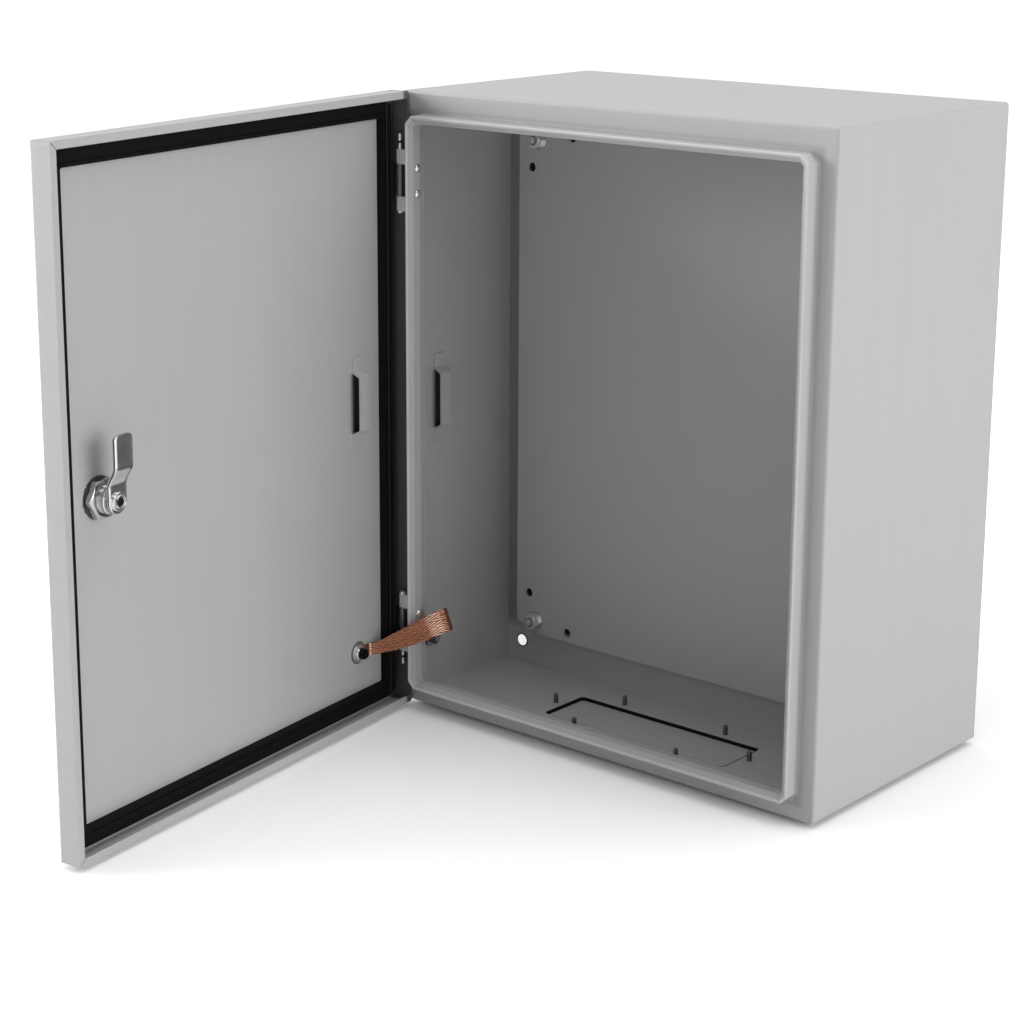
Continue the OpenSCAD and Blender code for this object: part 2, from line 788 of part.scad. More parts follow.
// the braid's route in the body frame, from the door's lug to the body's:
// place, share of the full width, lean of the width's direction in degrees
strap_v = door_t + lug_at + strap_t / 2;
door_lug_end = [
  hinge_x + (door_earth_x - lug_len - hinge_x) * cos(door_open) + (strap_v - pin_v) * sin(door_open),
  -hinge_y - (door_earth_x - lug_len - hinge_x) * sin(door_open) + (strap_v - pin_v) * cos(door_open)
];
to_hinge = [-cos(door_open), sin(door_open)];
body_lug_end = [sheet_t + lug_at + strap_t / 2, body_earth_y - lug_len];
function flat_at(p, d, s, z, w) = [p[0] + d[0] * s, p[1] + d[1] * s, z, w, 0];
strap_route = [
  flat_at(door_lug_end, to_hinge, -3, door_earth_z, lug_w / strap_w),
  flat_at(door_lug_end, to_hinge, face_gap, door_earth_z, lug_w / strap_w),
  [4.5, -36, 53.5, 0.75, 4],
  [13, -29.5, 57.5, 0.9, 12],
  [24, -21, 63, 1, 20],
  [36, -12, 70, 1.05, 24],
  [45, -3, 76, 1.06, 24],
  [46.5, 2, 77, 1.06, 24],
  [41, 7, 74, 1.06, 22],
  [28, 8, 62, 0.95, 18],
  [16, 9, 52, 0.8, 8],
  [9.5, 12, 47, 0.65, 2],
  flat_at(body_lug_end, [0, -1], face_gap, body_earth_z, lug_w / strap_w),
  flat_at(body_lug_end, [0, 1], 3, body_earth_z, lug_w / strap_w)
];
function curve_at(p, i, s) =
  0.5 * (2 * p[i]
    + (p[i + 1] - p[i - 1]) * s
    + (2 * p[i - 1] - 5 * p[i] + 4 * p[i + 1] - p[i + 2]) * s * s
    + (3 * p[i] - p[i - 1] - 3 * p[i + 1] + p[i + 2]) * s * s * s);
strap_line = [
  for (i = [1:len(strap_route) - 3], s = [0:0.25:0.76]) curve_at(strap_route, i, s),
  strap_route[len(strap_route) - 2]
];
function place_of(r) = [r[0], r[1], r[2]];
function unit(v) = v / norm(v);
function ring_at(p, i) =
  let (
    last = len(p) - 1,
    t = i == 0 ? [to_hinge[0], to_hinge[1], 0]
      : i == last ? [0, 1, 0]
      : unit(place_of(p[i + 1]) - place_of(p[i - 1])),
    lean = [-sin(p[i][4]), 0, cos(p[i][4])],
    across = unit(lean - (lean * t) * t) * strap_w * p[i][3] / 2,
    out = unit(cross(t, across)) * strap_t / 2,
    c = place_of(p[i])
  )
    [c + across + out, c - across + out, c - across - out, c + across - out];

module earth_strap() color(copper) in_body() {
  n = len(strap_line);
  polyhedron(
    points = [for (i = [0:n - 1]) each ring_at(strap_line, i)],
    faces = concat(
      [[0, 1, 2], [0, 2, 3]],
      [
        for (i = [0:n - 2], j = [0:3], k = [0, 1])
          let (a = 4 * i + j, b = 4 * i + (j + 1) % 4)
            k == 0 ? [a, a + 4, b] : [a + 4, b + 4, b]
      ],
      [[4 * n - 4, 4 * n - 2, 4 * n - 3], [4 * n - 4, 4 * n - 1, 4 * n - 2]]
    )
  );
}

body_shell();
back_wall();
rear_cover();
wall_sleeves();
hole_plugs();
mounting_plate();
plate_studs();
plate_spacers();
plate_washers();
plate_nuts();
entry_cover();
entry_seal();
entry_screws();
body_cable_bracket();
hinge_body_leaves();
hinge_screws();
hinge_pins();
hinge_door_leaves();
door_pan();
door_gasket();
door_cable_bracket();
lock_housing();
lock_washer();
lock_nut();
lock_spindle();
lock_cam();
cam_screw();
door_earth_stud();
door_earth_nut();
door_earth_washer();
door_strap_lug();
body_earth_stud();
body_earth_nut();
body_earth_washer();
body_strap_lug();
earth_strap();
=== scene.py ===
import json
import math

import bmesh
import bpy
from mathutils import Matrix, Vector


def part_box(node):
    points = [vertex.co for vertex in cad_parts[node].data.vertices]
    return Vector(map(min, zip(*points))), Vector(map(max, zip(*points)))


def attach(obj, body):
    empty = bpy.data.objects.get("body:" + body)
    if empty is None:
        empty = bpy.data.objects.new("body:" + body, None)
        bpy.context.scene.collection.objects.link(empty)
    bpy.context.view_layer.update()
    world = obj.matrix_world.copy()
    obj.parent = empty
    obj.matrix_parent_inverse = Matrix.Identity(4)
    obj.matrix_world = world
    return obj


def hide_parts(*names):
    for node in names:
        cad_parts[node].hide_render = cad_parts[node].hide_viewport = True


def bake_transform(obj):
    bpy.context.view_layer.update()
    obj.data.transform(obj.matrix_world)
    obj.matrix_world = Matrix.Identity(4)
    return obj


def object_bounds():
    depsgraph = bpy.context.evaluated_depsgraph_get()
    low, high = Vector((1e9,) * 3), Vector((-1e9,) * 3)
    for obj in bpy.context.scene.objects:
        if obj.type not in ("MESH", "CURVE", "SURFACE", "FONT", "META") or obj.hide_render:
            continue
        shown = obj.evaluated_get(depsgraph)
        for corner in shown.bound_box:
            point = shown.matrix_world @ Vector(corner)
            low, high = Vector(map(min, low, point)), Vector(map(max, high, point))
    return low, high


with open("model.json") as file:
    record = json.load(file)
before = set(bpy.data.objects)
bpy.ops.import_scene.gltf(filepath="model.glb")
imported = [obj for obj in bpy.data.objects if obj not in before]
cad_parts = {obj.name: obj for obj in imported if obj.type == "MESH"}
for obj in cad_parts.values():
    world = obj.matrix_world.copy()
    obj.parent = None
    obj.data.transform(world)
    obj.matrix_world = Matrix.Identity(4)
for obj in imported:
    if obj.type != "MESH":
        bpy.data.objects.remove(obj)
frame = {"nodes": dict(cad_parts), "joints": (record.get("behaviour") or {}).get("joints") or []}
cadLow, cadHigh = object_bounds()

mm = 0.001
nodes = frame["nodes"]
print("frame loaded")

# in the functions below, s holds a piece's settings, f is its finish and b its bmesh

# sizes of the body and places on it and on the door, the first few from the loaded model

shellLow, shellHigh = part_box("body_shell")
bodyWide = shellHigh.x - shellLow.x
bodyHigh = shellHigh.z - shellLow.z
hingePlace = Vector(next(j for j in frame["joints"] if j["name"] == "door_hinge")["pos_m"])
pinFromSide = hingePlace.x - shellLow.x
pinFromFace = 13.5 * mm  # behind the door's outer face
doorOpen = math.radians(82)
lipReach = 13.4 * mm  # how far the lip stands in front of the flange
sheet = 1.5 * mm  # of the door and of the walls
lockPlace = (349 * mm, 1 * mm)  # from the hinge side, above the middle of the height
doorStudPlace = (51.5 * mm, 53 * mm)  # from the hinge side, above the bottom
bodyStudPlace = (29 * mm, 46 * mm)  # behind the front plane, above the bottom

# body frame: left side, front plane and bottom at zero
bodyFrame = Matrix.Translation((shellLow.x, shellLow.y + lipReach, shellLow.z))
# door frame: hinge side, outer face and bottom at zero
doorFrame = (
    Matrix.Translation((hingePlace.x, hingePlace.y, shellLow.z))
    @ Matrix.Rotation(-doorOpen, 4, "Z")
    @ Matrix.Translation((-pinFromSide, -pinFromFace, 0))
)
lockFrame = doorFrame @ Matrix.Translation((lockPlace[0], 0, bodyHigh / 2 + lockPlace[1]))
doorStudFrame = doorFrame @ Matrix.Translation((doorStudPlace[0], sheet, doorStudPlace[1]))
bodyStudFrame = (
    bodyFrame @ Matrix.Translation((sheet, *bodyStudPlace)) @ Matrix.Rotation(math.radians(-90), 4, "Z")
)


class Socket:
    # wraps a node socket, so that sums on it add Math nodes
    def __init__(self, tree, out):
        self.tree, self.out = tree, out

    def join(self, operation, first, second=0.0):
        return NodeMaker(self.tree).node("Math", {"operation": operation}, {0: first, 1: second})

    def __add__(self, other):
        return self.join("ADD", self, other)

    def __radd__(self, other):
        return self.join("ADD", other, self)

    def __sub__(self, other):
        return self.join("SUBTRACT", self, other)

    def __rsub__(self, other):
        return self.join("SUBTRACT", other, self)

    def __mul__(self, other):
        return self.join("MULTIPLY", self, other)

    def __rmul__(self, other):
        return self.join("MULTIPLY", other, self)

    def __pow__(self, other):
        return self.join("POWER", self, other)

    def __gt__(self, other):
        return self.join("GREATER_THAN", self, other)

    def __lt__(self, other):
        return self.join("LESS_THAN", self, other)

    def low(self, other):
        return self.join("MINIMUM", self, other)

    def high(self, other):
        return self.join("MAXIMUM", self, other)

    def sine(self):
        return self.join("SINE", self)

    def size(self):
        return self.join("ABSOLUTE", self)

    def ease(self, start, end):
        # 0 before start, 1 after end, eased between
        before, after = (1.0, 0.0) if start > end else (0.0, 1.0)
        return NodeMaker(self.tree).node("MapRange", {"interpolation_type": "SMOOTHSTEP"}, {
            "Value": self, "From Min": min(start, end), "From Max": max(start, end),
            "To Min": before, "To Max": after,
        })


class NodeMaker:
    # adds nodes to one tree
    def __init__(self, tree):
        self.tree = tree

    def node(self, kind, settings=None, sockets=None, out=0):
        made = self.tree.nodes.new("ShaderNode" + kind)
        for key, value in (settings or {}).items():
            setattr(made, key, value)
        for key, value in (sockets or {}).items():
            place = made.inputs[key]
            if isinstance(value, Socket):
                self.tree.links.new(value.out, place)
            elif place.type == "RGBA":
                place.default_value = (*value, 1)
            else:
                place.default_value = value
        return Socket(self.tree, made.outputs[out])

    def show(self, kind, shader):
        # the tree's output, a material's or a world's
        made = self.tree.nodes.new("ShaderNodeOutput" + kind)
        self.tree.links.new(shader.out, made.inputs[0])

    def split(self, vector):
        made = self.node("SeparateXYZ", None, {"Vector": vector}).out.node
        return [Socket(self.tree, made.outputs[n]) for n in "XYZ"]

    def ray(self, kind):
        return self.node("LightPath", out="Is %s Ray" % kind)

    def seen(self):
        # 1 where a camera, mirror or glass looks, 0 where light falls on a surface
        return (self.ray("Camera") + self.ray("Glossy") + self.ray("Transmission")).low(1.0)


class Finish(NodeMaker):
    # one material and its nodes
    def __init__(self, name):
        self.material = bpy.data.materials.new(name)
        self.material.use_nodes = True
        self.material.node_tree.nodes.clear()
        super().__init__(self.material.node_tree)

    def place(self):
        return self.node("TexCoord", out="Object")

    def placeIn(self, matrix):
        # coordinates in one of the object's own frames, in metres
        x, y, z = self.split(self.place())
        back = matrix.inverted()
        return [x * row[0] + y * row[1] + z * row[2] + row[3] for row in back[:3]]

    def facingIn(self, matrix):
        x, y, z = self.split(self.node("TexCoord", out="Normal"))
        back = matrix.inverted()
        return [x * row[0] + y * row[1] + z * row[2] for row in back[:3]]

    def noise(self, where, scale, detail=2.0, rough=0.5):
        return self.node("TexNoise", None, {
            "Vector": where, "Scale": scale, "Detail": detail, "Roughness": rough,
        })

    def stretched(self, scale):
        return self.node("Mapping", None, {"Vector": self.place(), "Scale": scale})

    def mix(self, share, first, second):
        return self.node("Mix", {"data_type": "RGBA"}, {0: share, 6: first, 7: second}, out=2)

    def bump(self, height, distance, strength=1.0):
        return self.node("Bump", None, {"Height": height, "Distance": distance, "Strength": strength})

    def surface(self, **sockets):
        names = {
            "colour": "Base Color", "rough": "Roughness", "metal": "Metallic", "normal": "Normal",
            "glow": "Emission Color", "glowPower": "Emission Strength", "spec": "Specular IOR Level",
        }
        shader = self.node("BsdfPrincipled", None, {names[key]: value for key, value in sockets.items()})
        self.show("Material", shader)
        return self.material


def grey(shade):
    return (shade, shade, shade)


def distance(x, y):
    return (x * x + y * y) ** 0.5


def inside(place, low, high, soft):
    # 1 between low and high, eased over soft at both ends
    middle, half = (low + high) / 2, (high - low) / 2
    return (place - middle).size().ease(half, half - soft)


def onSheet(place):
    # 1 on the inner face of a wall or of the door
    return inside(place, sheet - 0.3 * mm, sheet + 0.3 * mm, 0.1 * mm)


# camera, floor, background and lamps

cameraSettings = {
    "place": (1.0508, -1.5659, 0.4261),
    "yaw": 41.64,  # degrees to the left of +Y
    "pitch": 13.77,  # degrees below the horizon
    "lens": 82.3,
    "sensor": 36,
    "shift": (0.05, -0.08),
    "clip": (0.05, 50),
}


def makeCamera(s):
    data = bpy.data.cameras.new("camera")
    data.lens = s["lens"]
    data.sensor_width = s["sensor"]
    data.shift_x, data.shift_y = s["shift"]
    data.clip_start, data.clip_end = s["clip"]
    camera = bpy.data.objects.new("camera", data)
    camera.location = s["place"]
    camera.rotation_euler = (math.radians(90 - s["pitch"]), 0, math.radians(s["yaw"]))
    bpy.context.scene.collection.objects.link(camera)
    bpy.context.scene.camera = camera


floorSettings = {
    "size": 24.0,
    "shade": 0.80,  # for the light that it throws back
    "seenShade": 0.90,  # how strongly it shows light and shadow to the camera
    "seenGlow": (0.64, 0.92),  # what the camera and mirrors see beside that, near and far
    "middle": -0.25,  # of the near part, in front of the object
    "fade": (0.55, 2.2),  # distances between which near turns to far
    "contact": 0.5,  # reach of the soft shade where something stands close
}


def makeFloor(s):
    mesh = bpy.data.meshes.new("floor")
    b = bmesh.new()
    bmesh.ops.create_grid(b, x_segments=1, y_segments=1, size=s["size"] / 2)
    bmesh.ops.translate(b, verts=b.verts, vec=(0, 0, cadLow.z))
    b.to_mesh(mesh)
    b.free()
    floor = bpy.data.objects.new("floor", mesh)
    bpy.context.scene.collection.objects.link(floor)

    f = Finish("floorPaint")
    x, y = f.split(f.place())[:2]
    far = distance(x, y - s["middle"]).ease(*s["fade"])
    near, away = s["seenGlow"]
    shade = f.node("AmbientOcclusion", {"samples": 16}, {"Distance": s["contact"]}, out="AO")
    glow = f.node("Emission", None, {"Color": grey(1), "Strength": (far * (away - near) + near) * shade})
    shaded = f.node("BsdfDiffuse", None, {"Color": grey(s["seenShade"])})
    plain = f.node("BsdfDiffuse", None, {"Color": grey(s["shade"])})
    both = f.node("AddShader", None, {0: shaded, 1: glow})
    f.show("Material", f.node("MixShader", None, {0: f.seen(), 1: plain, 2: both}))
    mesh.materials.append(f.material)


worldSettings = {
    "power": 0.207,
    "boxPower": 1.7,  # of the soft boxes, in reflections
    "flagShade": 0.12,  # of the dark flags between them
    "flagCount": 7.0,  # all round
    "flagRise": 5.0,  # how fast they follow each other upwards
    "flagStart": 1.2,
    "rearShare": 0.56,  # the rear half of the studio is plain
}


def makeWorld(s):
    world = bpy.data.worlds.new("studio")
    world.use_nodes = True
    world.node_tree.nodes.clear()
    f = NodeMaker(world.node_tree)
    x, y, z = f.split(f.node("TexCoord", out="Generated"))
    around = y.join("ARCTAN2", y, x)
    rise = z * s["flagRise"] + s["flagStart"]
    flags = ((around * s["flagCount"]).sine() * rise.sine()).ease(-0.15, 0.35)
    flags = flags + (s["rearShare"] - flags) * y.ease(-0.1, 0.3)
    boxes = flags * (s["boxPower"] - s["flagShade"]) + s["flagShade"]
    light = f.node("Background", None, {"Color": grey(1), "Strength": s["power"]})
    seen = f.node("Background", None, {"Color": grey(1), "Strength": f.ray("Glossy") * (boxes - 1.0) + 1.0})
    f.show("World", f.node("MixShader", None, {0: f.seen(), 1: light, 2: seen}))
    bpy.context.scene.world = world


lampAim = Vector((0, -0.3, 0))
lampSettings = {
    "rightLamp": {"place": (2.6, 0.0, 0.58), "size": 1.8, "power": 32},
    "leftLamp": {"place": (-2.4, -1.2, 0.9), "size": 1.6, "power": 9},
    "frontLeftLamp": {"place": (-1.9, -1.9, 0.7), "size": 1.6, "power": 42},
    "overheadLamp": {"place": (0.2, -0.2, 2.4), "size": 2.2, "power": 22},
}


def makeLamp(name, s):
    data = bpy.data.lights.new(name, "AREA")
    data.shape = "SQUARE"
    data.size = s["size"]
    data.energy = s["power"]
    lamp = bpy.data.objects.new(name, data)
    lamp.location = s["place"]
    lamp.rotation_euler = (lampAim - Vector(s["place"])).to_track_quat("-Z", "Y").to_euler()
    bpy.context.scene.collection.objects.link(lamp)


makeCamera(cameraSettings)
makeFloor(floorSettings)
makeWorld(worldSettings)
for name, s in lampSettings.items():
    makeLamp(name, s)
bpy.context.scene.view_settings.view_transform = "Standard"
print("camera, floor and lamps made")

# powder paint: slow drift of shade, faint upright streaks, fine orange peel

paintSettings = {
    "body": 0.60,
    "door": 0.60,
    "plate": 0.58,
    "drift": 0.05,  # share by which the shade wanders
    "streaks": (70, 70, 1.5),  # close together across, long upwards
    "rough": 0.45,
    "peelSize": 520,
    "peelDepth": 0.03 * mm,
}


def powderPaint(name, shade, s=paintSettings):
    f = Finish(name)
    where = f.place()
    share = f.noise(where, 5.0, 3.0, 0.55) * 0.6 + f.noise(f.stretched(s["streaks"]), 1.0) * 0.4
    colour = f.mix(share, grey(shade * (1 - s["drift"])), grey(shade * (1 + s["drift"])))
    peel = f.bump(f.noise(where, s["peelSize"]), s["peelDepth"], 0.6)
    rough = f.noise(where, 40.0) * 0.08 + (s["rough"] - 0.04)
    return f, colour, rough, peel


def coat(node, material):
    mesh = nodes[node].data
    mesh.materials.clear()
    mesh.materials.append(material)


# cable brackets, and painted shade in the hollows under them

bracketSettings = {
    "length": 52 * mm,
    "width": 11.5 * mm,
    "bodyPlace": (40.5 * mm, 248 * mm),  # behind the front plane, above the bottom
    "doorPlace": (50 * mm, 259.5 * mm),  # from the hinge side, above the bottom
    "fadeOut": 4.0 * mm,  # of the shade, outside the bracket's edge
    "fadeIn": 4.2 * mm,  # and inside it
    "backEdge": 0.5 * mm,  # how far it reaches past the other edge
    "ends": 1.6 * mm,  # faded length at each end
}


def hollowShare(across, along, place, way, s):
    # painted shade under a bracket strip; way says on which side of the strip the shade fades out
    half, wide = s["length"] / 2 - s["ends"], s["width"] / 2
    fade = (across - place[0]) * way
    strip = fade.ease(wide + s["fadeOut"], wide - s["fadeIn"]) * (fade > -wide - s["backEdge"])
    return strip * inside(along, place[1] - half, place[1] + half, s["ends"])


def bracketPaint(name, shade, matrix, outward, place):
    # painted shade: near black on faces turned to the wall and on those turned to the bracket's middle
    f, colour, rough, peel = powderPaint(name, shade)
    spot, face = f.placeIn(matrix), f.facingIn(matrix)
    inward = (face[2] * (spot[2] - place[1]) < -0.1 * mm) * (face[2].size() > 0.2)
    colour = f.mix((face[outward] < -0.3).high(inward), colour, grey(0.01))
    return f.surface(colour=colour, rough=rough, normal=peel)


# body shell: painted shade at the root of the lip, painted highlight along its nose, painted shade in the
# gap beside the hinges, dark seal round the cable entry, painted shade in the hollow under the cable bracket

shellSettings = {
    "rim": (15 * mm, 15 * mm, 18 * mm),  # flange outside the lip: side, bottom, top
    "rootReach": 7 * mm,
    "rootEdge": 0.5 * mm,
    "rootBand": (-2.6 * mm, 1.6 * mm),  # before and behind the front plane
    "rootShade": 0.30,
    "noseDepth": 1.2 * mm,
    "noseShade": 0.86,
    "noseShare": 0.7,
    "gap": (14.5 * mm, 11 * mm),  # from the left side: clear beyond the first, full within the second
    "gapBand": (-1 * mm, 1.6 * mm),
    "gapEnds": 12 * mm,  # from the bottom and the top
    "gapShade": 0.85,
    "entryMiddle": (200 * mm, 70 * mm),
    "entryHalf": (88 * mm, 25 * mm),
    "entryCorner": 4 * mm,
    "sealBand": (-0.3 * mm, 2.2 * mm),  # from the bottom
    "sealEdge": 0.4 * mm,
    "sealRight": 0.9 * mm,  # added to it at the right end
}


def shellPaint(s, bracket):
    f, colour, rough, peel = powderPaint("bodyPaint", paintSettings["body"])
    x, y, z = f.placeIn(bodyFrame)
    side, bottom, top = s["rim"]
    # distance outside the rectangle of the lip, on the front flange
    outX = (x - bodyWide / 2).size() - (bodyWide / 2 - side)
    outZ = (z - (bottom + bodyHigh - top) / 2).size() - (bodyHigh - top - bottom) / 2
    # painted shade on the front flange at the root of the lip
    root = outX.high(outZ).ease(s["rootReach"], s["rootEdge"]) * inside(y, *s["rootBand"], 0.4 * mm)
    colour = f.mix(root * s["rootShade"], colour, grey(0.12))
    # painted shade in the gap beside the hinges, on the front flange
    gap = x.ease(*s["gap"]) * inside(y, *s["gapBand"], 0.3 * mm) * s["gapShade"]
    gap = gap * inside(z, s["gapEnds"], bodyHigh - s["gapEnds"], 10 * mm)
    colour = f.mix(gap, colour, grey(0.05))
    # painted highlight along the nose of the lip
    nose = y.ease(s["noseDepth"] - lipReach, s["noseDepth"] / 2 - lipReach)
    colour = f.mix(nose * s["noseShare"], colour, grey(s["noseShade"]))
    # the seal shows as a dark line all round the cable entry
    middle, half, corner = s["entryMiddle"], s["entryHalf"], s["entryCorner"]
    away = distance(((x - middle[0]).size() - (half[0] - corner)).high(0.0),
                    ((y - middle[1]).size() - (half[1] - corner)).high(0.0))
    edge = (x > middle[0] + half[0] - corner * 0.6) * s["sealRight"] + s["sealEdge"]
    seal = (away - edge).ease(corner, corner - 0.3 * mm) * inside(z, *s["sealBand"], 0.3 * mm)
    colour = f.mix(seal, colour, grey(0.004))
    # painted shade on the wall under the cable bracket
    hollow = hollowShare(y, z, bracket["bodyPlace"], -1, bracket) * onSheet(x)
    colour = f.mix(hollow, colour, grey(0.008))
    return f.surface(colour=colour, rough=rough, normal=peel)


# inner back wall: painted deep shade on the strip behind the mounting plate, painted shade on the wall left
# of it

backWallSettings = {
    "soft": 4 * mm,
    "besideEdge": 1 * mm,  # the wall left of the plate is shaded as far as this inside its edge
    "besideLow": 6 * mm,  # fades in from this far below the plate's lower edge to as far above it
    "besideShade": 0.6,
}


def backWallPaint(s):
    f, colour, rough, peel = powderPaint("backWallPaint", paintSettings["body"])
    x, _, z = f.placeIn(bodyFrame)
    low, high = (bodyFrame.inverted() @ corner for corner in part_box("mounting_plate"))
    behind = inside(x, low.x, high.x, s["soft"]) * inside(z, low.z, high.z, s["soft"])
    beside = x.ease(low.x + s["soft"], low.x + s["besideEdge"])
    beside = beside * z.ease(low.z - s["besideLow"], low.z + s["besideLow"]) * s["besideShade"]
    # painted shade on the wall left of the plate
    colour = f.mix(beside, colour, grey(0.10))
    # painted deep shade behind the plate
    colour = f.mix(behind, colour, grey(0.002))
    return f.surface(colour=colour, rough=rough, normal=peel)


# door: painted shade in the hinge gap and under the bracket, painted shadow ring round the earth stud

doorSettings = {
    "gap": (9 * mm, 6 * mm),  # from the hinge side: clear beyond the first, full within the second
    "gapDepth": (0.8 * mm, 1.4 * mm),  # behind the outer face, which stays clear
    "gapShade": 0.85,
    "ring": (7.9 * mm, 9.7 * mm),
    "ringSoft": 0.7 * mm,
    "ringShade": 0.85,
}


def doorPaint(s, bracket):
    f, colour, rough, peel = powderPaint("doorPaint", paintSettings["door"])
    u, v, z = f.placeIn(doorFrame)
    # painted shade in the gap on the hinge side
    gap = u.ease(*s["gap"]) * v.ease(*s["gapDepth"]) * s["gapShade"]
    colour = f.mix(gap, colour, grey(0.05))
    # painted shadow: a dark ring round the earth washer
    away = distance(u - doorStudPlace[0], z - doorStudPlace[1])
    ring = inside(away, *s["ring"], s["ringSoft"]) * onSheet(v)
    colour = f.mix(ring * s["ringShade"], colour, grey(0.02))
    # painted shade on the door under the cable bracket
    hollow = hollowShare(u, z, bracket["doorPlace"], 1, bracket) * onSheet(v)
    colour = f.mix(hollow, colour, grey(0.006))
    return f.surface(colour=colour, rough=rough, normal=peel)


def plainPaint(name, shade):
    f, colour, rough, peel = powderPaint(name, shade)
    return f.surface(colour=colour, rough=rough, normal=peel)


coat("body_shell", shellPaint(shellSettings, bracketSettings))
coat("back_wall", backWallPaint(backWallSettings))
coverPaint = plainPaint("coverPaint", paintSettings["body"])
coat("rear_cover", coverPaint)
coat("entry_cover", coverPaint)
coat("mounting_plate", plainPaint("platePaint", paintSettings["plate"]))
coat("door_pan", doorPaint(doorSettings, bracketSettings))
coat("body_cable_bracket", bracketPaint("bodyBracketPaint", paintSettings["body"], bodyFrame, 0,
                                        bracketSettings["bodyPlace"]))
coat("door_cable_bracket", bracketPaint("doorBracketPaint", paintSettings["door"], doorFrame, 1,
                                        bracketSettings["doorPlace"]))
print("paint applied")

# metals

metalSettings = {
    "zinc": {"shade": 0.62, "rough": 0.22, "metal": 0.95},
    "paleZinc": {"shade": 0.95, "rough": 0.4, "metal": 0.0},
    "darkZinc": {"shade": 0.12, "rough": 0.38, "metal": 0.6},
    "blackZinc": {"shade": 0.003, "rough": 0.5, "metal": 0.0, "spec": 0.15},
    "nutSteel": {"shade": 0.44, "rough": 0.12, "metal": 1.0},
    "nutZinc": {"shade": 0.8, "rough": 0.2, "metal": 0.45},
    "screwZinc": {"shade": 0.7, "rough": 0.13, "metal": 1.0},
    "polished": {"shade": 0.68, "rough": 0.13, "metal": 0.95},
}


def metalFinish(name, s):
    f = Finish(name)
    where = f.place()
    cloud = f.noise(where, 160.0, 3.0, 0.6)
    colour = f.mix(cloud, grey(s["shade"] * 0.82), grey(min(s["shade"] * 1.15, 0.95)))
    grain = f.bump(f.noise(where, 1500.0), 0.02 * mm, 0.5)
    return f.surface(colour=colour, rough=cloud * 0.16 + (s["rough"] - 0.08), metal=s["metal"],
                     spec=s.get("spec", 0.5), normal=grain)


metals = {name: metalFinish(name, s) for name, s in metalSettings.items()}

pinSettings = {"groove": (209.6 * mm, 212 * mm)}  # from the middle of the height


def pinFinish(s):
    # painted shade of a groove: a near-black band near the plain end of each hinge pin
    f = Finish("pinSteel")
    where = f.place()
    groove = inside(f.split(where)[2].size(), *s["groove"], 0.3 * mm)
    cloud = f.noise(where, 200.0, 3.0)
    colour = f.mix(groove, f.mix(cloud, grey(0.7), grey(0.9)), grey(0.02))
    return f.surface(colour=colour, rough=cloud * 0.15 + 0.2, metal=0.55)


for name in ("wall_sleeves", "plate_studs", "plate_spacers", "plate_washers", "body_earth_stud",
             "door_earth_washer", "body_earth_washer", "lock_housing", "lock_spindle"):
    coat(name, metals["zinc"])
coat("hinge_body_leaves", metals["paleZinc"])
coat("hinge_door_leaves", metals["darkZinc"])
coat("lock_washer", metals["darkZinc"])
coat("door_earth_stud", metals["blackZinc"])
coat("hinge_pins", pinFinish(pinSettings))

# soft black sealing foam with open cells, and two painted highlight lines down the door's hinge side

gasketSettings = {
    "shade": 0.004,
    "rough": 0.8,
    "sheenLines": (8.3 * mm, 15 * mm),  # from the hinge side
    "sheenHalf": 0.6 * mm,
    "sheenSoft": 0.4 * mm,
    "sheenShade": 0.06,
}


def gasketFinish(name, s):
    f = Finish(name)
    where = f.place()
    cells = f.node("TexVoronoi", None, {"Vector": where, "Scale": 900.0})
    cloud = f.noise(where, 60.0, 3.0)
    colour = f.mix(cloud, grey(s["shade"] * 0.6), grey(s["shade"] * 1.8))
    u = f.placeIn(doorFrame)[0]
    # painted highlight: two lighter lines of sheen on the foam
    for place in s["sheenLines"]:
        sheenLine = inside(u, place - s["sheenHalf"], place + s["sheenHalf"], s["sheenSoft"])
        colour = f.mix(sheenLine, colour, grey(s["sheenShade"]))
    return f.surface(colour=colour, rough=cloud * 0.2 + (s["rough"] - 0.1), spec=0.12,
                     normal=f.bump(cells, 0.05 * mm, 0.5))


coat("door_gasket", gasketFinish("gasketFoam", gasketSettings))
coat("entry_seal", gasketFinish("sealRubber", gasketSettings))

# hole plugs: white plastic, a painted glow for the light of the open hole behind, a painted shadow line
# round it

plugSettings = {
    "place": (18 * mm, 21 * mm),  # from the sides, from the bottom and the top
    "dimple": (2.6 * mm, 3.2 * mm),
    "hole": (4.7 * mm, 4.9 * mm),  # glows as far as the edge of the hole
    "shadow": (5.3 * mm, 5.5 * mm),  # dark line round it, as far as this
    "glow": 0.85,
}


def plugFinish(s):
    f = Finish("plugPlastic")
    x, _, z = f.placeIn(bodyFrame)
    away = distance((x - bodyWide / 2).size() - (bodyWide / 2 - s["place"][0]),
                    (z - bodyHigh / 2).size() - (bodyHigh / 2 - s["place"][1]))
    cloud = f.noise(f.place(), 300.0)
    colour = f.mix(cloud, grey(0.86), grey(0.95))
    colour = f.mix(inside(away, *s["dimple"], 0.2 * mm) * 0.25, colour, grey(0.4))
    # painted glow within the edge of the hole, standing for light coming through it
    rim = away.ease(*s["hole"])
    glow = f.mix(rim, colour, grey(0.0))
    # painted shadow: a dark line round the glow, mid grey beyond it
    colour = f.mix(rim, colour, f.mix(away.ease(*s["shadow"]), grey(0.01), grey(0.4)))
    return f.surface(colour=colour, rough=cloud * 0.2 + 0.3, glow=glow, glowPower=s["glow"])


coat("hole_plugs", plugFinish(plugSettings))
print("metal, rubber and plastic applied")

# turned and bent pieces


